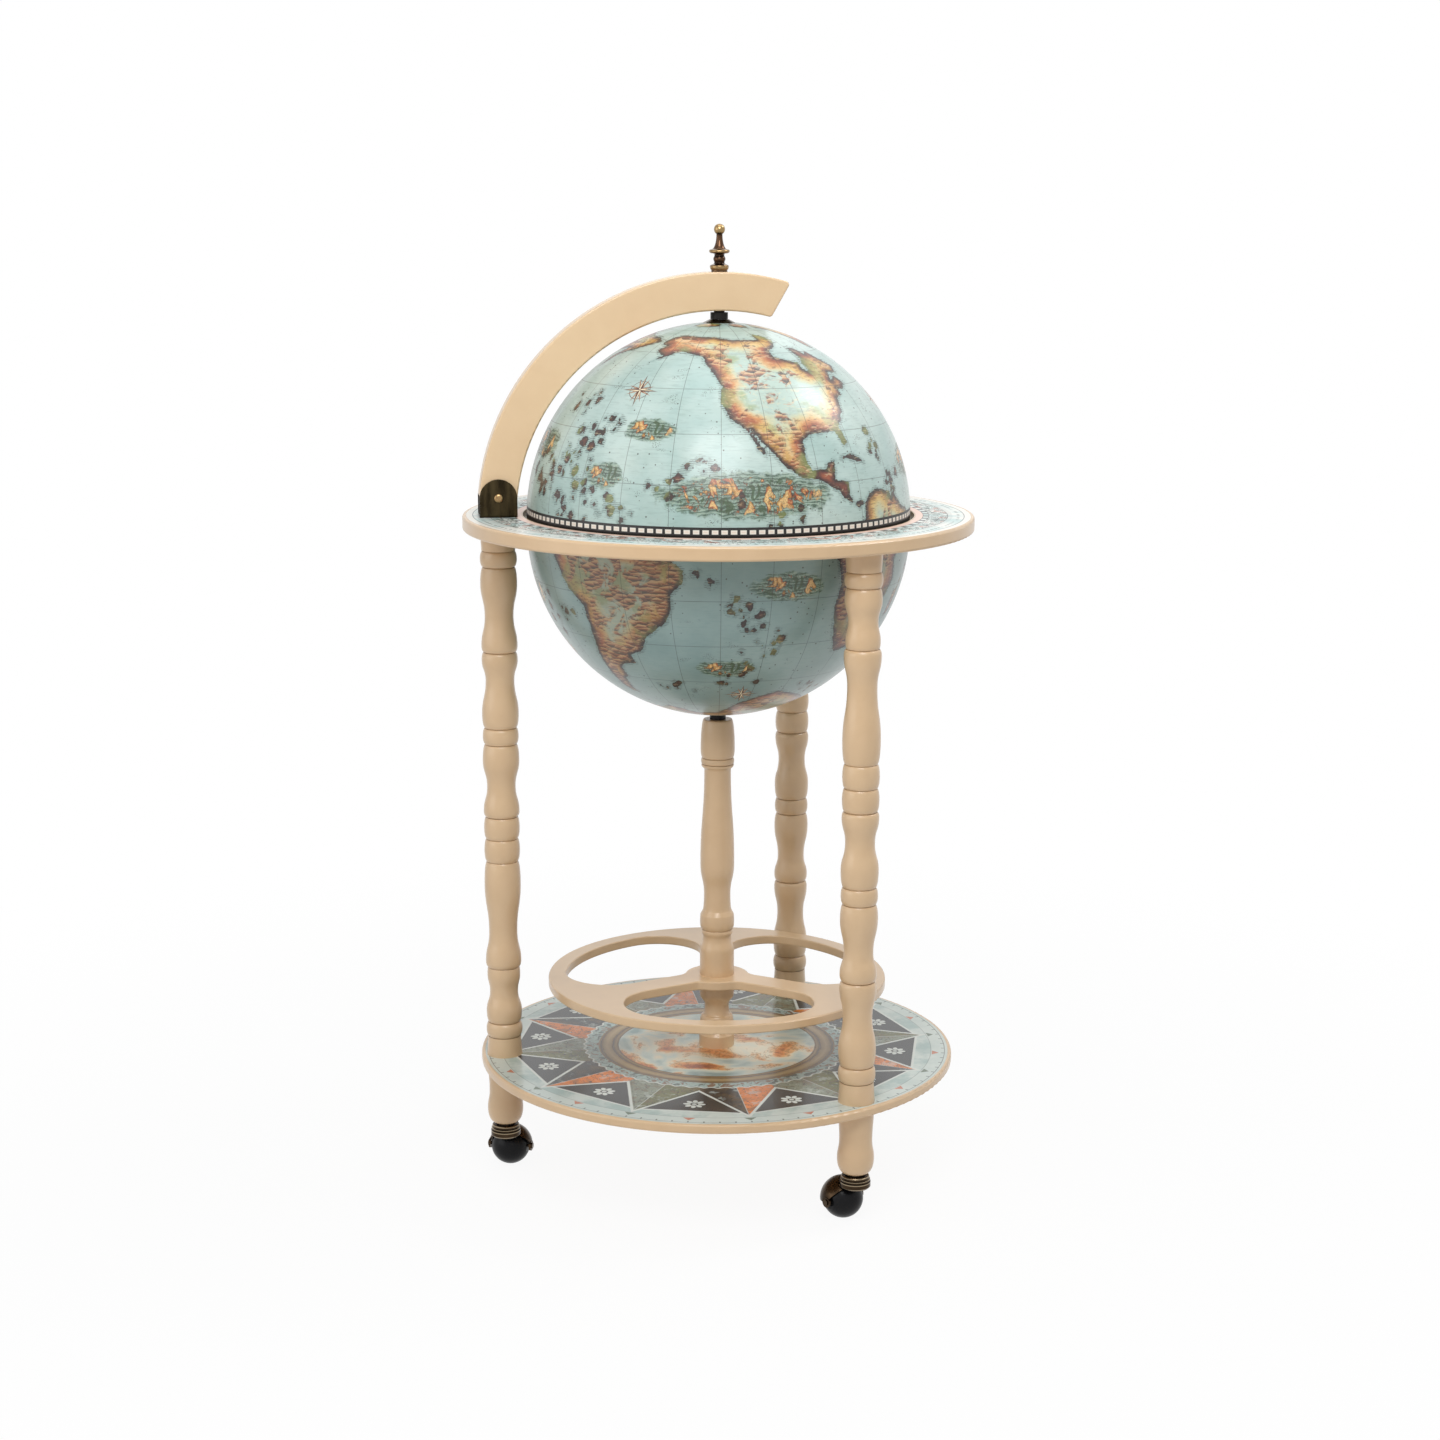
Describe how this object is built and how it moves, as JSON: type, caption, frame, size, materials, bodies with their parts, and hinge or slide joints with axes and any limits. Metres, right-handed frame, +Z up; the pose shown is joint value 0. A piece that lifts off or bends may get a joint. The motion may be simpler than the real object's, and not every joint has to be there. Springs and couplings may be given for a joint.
{
  "type": "globe bar",
  "caption": "Floor-standing globe bar: a globe that opens at its equator on a meridian arm, in a table ring on turned legs over a shelf on ball casters.",
  "frame": {"origin": "on the floor under the globe's axis, at the centre of the shelf", "axes": "+Z up along the globe's axis; the arm's hinge is on -X, over the left leg; the front is towards -Y"},
  "size_m": [0.4399, 0.44, 0.8321],
  "materials": {
    "cream_wood": "satin cream paint over wood",
    "base_sheet": "varnished print",
    "ring_sheet": "varnished print",
    "globe_print": "varnished printed map on a moulded shell",
    "black_plastic": "black",
    "antique_bronze": "dark antique bronze",
    "antique_brass": "antique brass",
    "steel": "zinc plated",
    "dowel_wood": "plain beech",
    "black_ball": "glossy black"
  },
  "bodies": {
    "frame": {"base_board": "cream_wood", "base_print": "base_sheet", "table_ring": "cream_wood", "ring_print": "ring_sheet", "leg_left": "cream_wood", "leg_right": "cream_wood", "leg_rear": "cream_wood", "foot_left": "cream_wood", "foot_right": "cream_wood", "foot_rear": "cream_wood", "leg_studs": "steel", "leg_dowels": "dowel_wood", "column_lower": "cream_wood", "bottle_ring": "cream_wood", "column_upper": "cream_wood", "pivot_spacer": "black_plastic", "column_rod": "steel", "column_nut": "steel", "lower_pole_nut": "steel", "hinge_bracket": "antique_bronze", "bracket_screws": "steel", "hinge_bolt": "antique_brass", "hinge_nut": "antique_brass", "caster_stems": "antique_bronze", "stem_sockets": "steel"},
    "lower_globe": {"lower_shell": "globe_print", "pole_block": "cream_wood", "lower_pole_washer": "steel", "rack_hoop": "cream_wood", "glass_rack": "cream_wood", "rack_screws": "steel"},
    "arm": {"meridian_arm": "cream_wood", "finial": "antique_brass", "pole_rod": "steel", "pole_nut": "steel", "pole_knob": "black_plastic"},
    "upper_globe": {"upper_shell": "globe_print", "rim_trim": "black_plastic", "pole_cap": "black_plastic", "pole_washer": "black_plastic"},
    "caster_left": {"caster_hood_left": "antique_bronze", "caster_axle_left": "steel"},
    "wheel_left": {"caster_wheel_left": "black_ball"},
    "caster_right": {"caster_hood_right": "antique_bronze", "caster_axle_right": "steel"},
    "wheel_right": {"caster_wheel_right": "black_ball"},
    "caster_rear": {"caster_hood_rear": "antique_bronze", "caster_axle_rear": "steel"},
    "wheel_rear": {"caster_wheel_rear": "black_ball"}
  },
  "joints": [
    {"name": "arm_hinge", "type": "hinge", "parent": "frame", "child": "arm", "pos_m": [-0.19, 0, 0.6035], "axis": [0, -1, 0], "range_deg": [0, 70]},
    {"name": "lower_globe_spin", "type": "hinge", "parent": "frame", "child": "lower_globe", "pos_m": [0, 0, 0.577], "axis": [0, 0, 1], "continuous": true},
    {"name": "upper_globe_spin", "type": "hinge", "parent": "arm", "child": "upper_globe", "pos_m": [0, 0, 0.585], "axis": [0, 0, 1], "continuous": true},
    {"name": "caster_swivel_left", "type": "hinge", "parent": "frame", "child": "caster_left", "pos_m": [-0.19, 0, 0.038], "axis": [0, 0, 1], "continuous": true},
    {"name": "wheel_roll_left", "type": "hinge", "parent": "caster_left", "child": "wheel_left", "pos_m": [-0.18487, 0.01409, 0.0172], "axis": [0.9397, -0.342, 0], "continuous": true},
    {"name": "caster_swivel_right", "type": "hinge", "parent": "frame", "child": "caster_right", "pos_m": [0.095, -0.16454, 0.038], "axis": [0, 0, 1], "continuous": true},
    {"name": "wheel_roll_right", "type": "hinge", "parent": "caster_right", "child": "wheel_right", "pos_m": [0.08727, -0.15169, 0.0172], "axis": [0.8572, 0.515, 0], "continuous": true},
    {"name": "caster_swivel_rear", "type": "hinge", "parent": "frame", "child": "caster_rear", "pos_m": [0.095, 0.16454, 0.038], "axis": [0, 0, 1], "continuous": true},
    {"name": "wheel_roll_rear", "type": "hinge", "parent": "caster_rear", "child": "wheel_rear", "pos_m": [0.09369, 0.17949, 0.0172], "axis": [0.9962, 0.0872, 0], "continuous": true}
  ]
}
